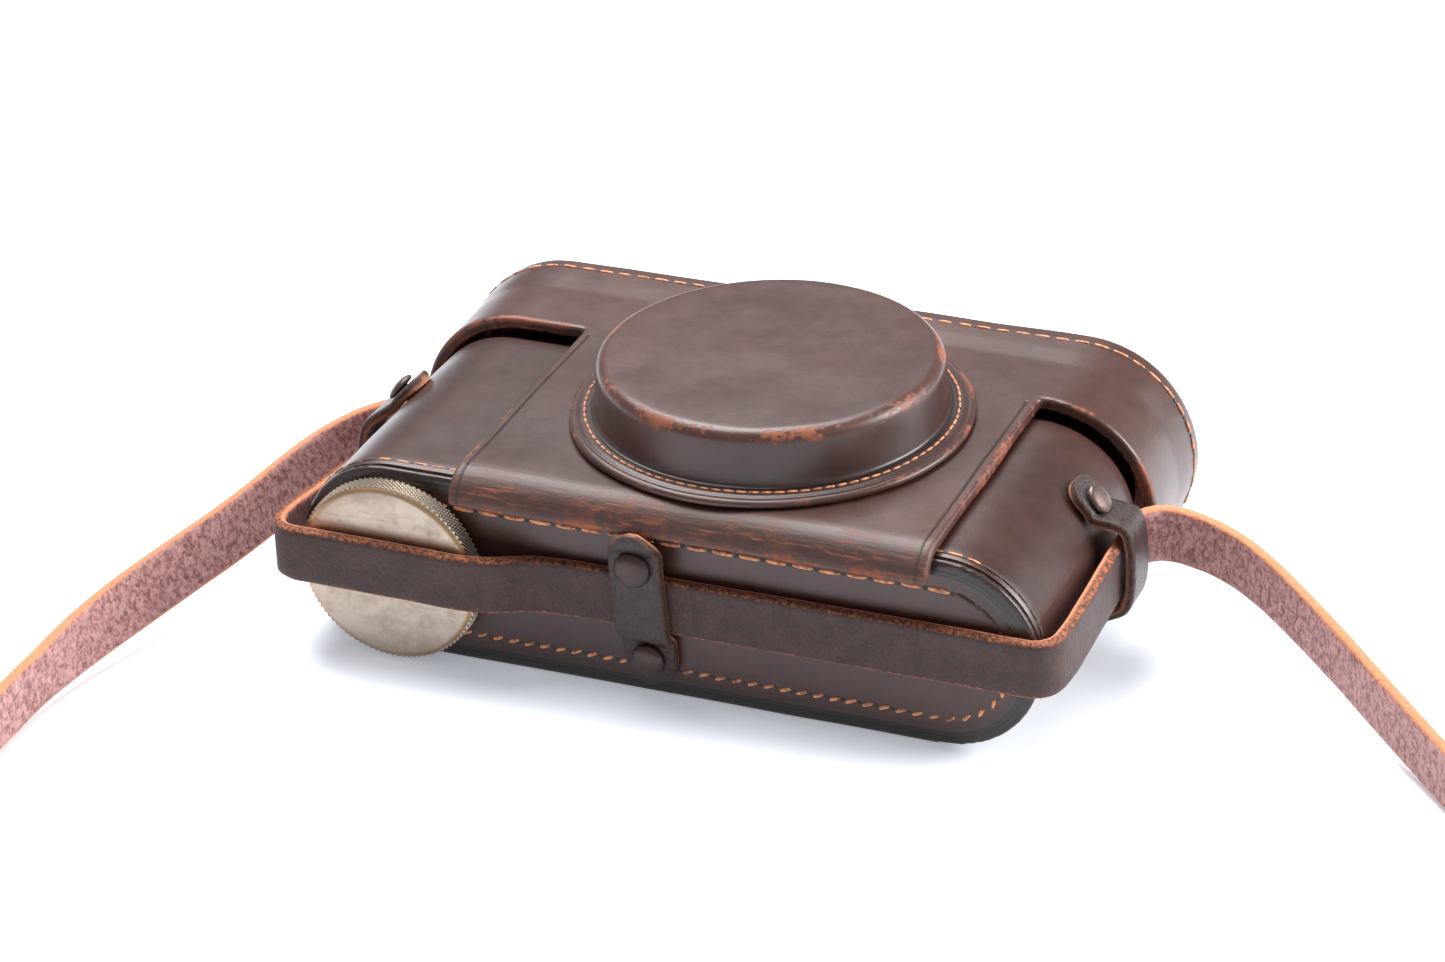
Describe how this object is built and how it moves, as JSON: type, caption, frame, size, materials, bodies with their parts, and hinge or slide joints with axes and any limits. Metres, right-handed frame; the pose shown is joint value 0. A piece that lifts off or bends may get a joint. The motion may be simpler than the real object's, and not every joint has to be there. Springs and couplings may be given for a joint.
{
  "type": "leather ever-ready camera case",
  "caption": "Moulded leather case for a 35 mm rangefinder camera: hinged lid with round lens box, press-stud closure, tripod screw and neck strap.",
  "frame": {"origin": "on the outer face of the flat back panel, which the case lies on, halfway along the case and on the line that halves its drawn height", "axes": "+X along the case towards its right end, +Y towards its hinged top, +Z out of its front, along the lens box"},
  "size_m": [0.3906, 0.1925, 0.053],
  "materials": {
    "case_leather": "moulded brown calf leather, satin, rubbed orange-brown at its edges",
    "strap_leather": "brown strap leather, dry, with raw orange-brown edges",
    "lining_felt": "thin dark red felt",
    "worn_nickel": "nickel plate, rubbed warm",
    "lacquered_brass": "brass under dark brown lacquer"
  },
  "bodies": {
    "case": {"body_band": "case_leather", "back_panel": "case_leather", "bottom_tray": "case_leather", "bottom_sole": "case_leather", "closure_anchor": "case_leather", "loop_left": "case_leather", "loop_right": "case_leather", "strap_base": "strap_leather", "strap_left": "strap_leather", "strap_left_roll": "strap_leather", "strap_right": "strap_leather", "strap_right_roll": "strap_leather", "body_lining": "lining_felt", "screw_bush": "worn_nickel", "snap_stud": "worn_nickel", "snap_burr": "worn_nickel", "closure_burr": "worn_nickel", "loop_burr_left_front": "worn_nickel", "loop_burr_left_back": "worn_nickel", "loop_burr_right_front": "worn_nickel", "loop_burr_right_back": "worn_nickel", "buckle_frame": "worn_nickel", "closure_rivet": "lacquered_brass", "loop_rivet_left_front": "lacquered_brass", "loop_rivet_left_back": "lacquered_brass", "loop_rivet_right_front": "lacquered_brass", "loop_rivet_right_back": "lacquered_brass", "back_lining": "lining_felt", "bottom_pad": "lining_felt"},
    "lid": {"lid_shell": "case_leather", "lid_top": "case_leather", "lens_box": "case_leather", "lens_box_pad": "lining_felt", "lid_top_pad": "lining_felt"},
    "closure": {"closure_strip": "case_leather", "snap_cap": "lacquered_brass"},
    "tripod": {"tripod_knob": "worn_nickel", "tripod_screw": "worn_nickel", "screw_retainer": "worn_nickel"},
    "prong": {"buckle_prong": "worn_nickel"}
  },
  "joints": [
    {"name": "lid_hinge", "type": "hinge", "parent": "case", "child": "lid", "pos_m": [0, 0.043, 0.0012], "axis": [-1, 0, 0], "range_deg": [0, 90]},
    {"name": "closure_hinge", "type": "hinge", "parent": "case", "child": "closure", "pos_m": [0, -0.0447, 0.0131], "axis": [1, 0, 0], "range_deg": [0, 66]},
    {"name": "knob_turn", "type": "hinge", "parent": "case", "child": "tripod", "pos_m": [-0.0528, -0.045, 0.0186], "axis": [0, -1, 0], "continuous": true},
    {"name": "prong_hinge", "type": "hinge", "parent": "case", "child": "prong", "pos_m": [-0.1563, -0.1129, 0.0082], "axis": [0, 0, -1], "range_deg": [0, 120]}
  ]
}
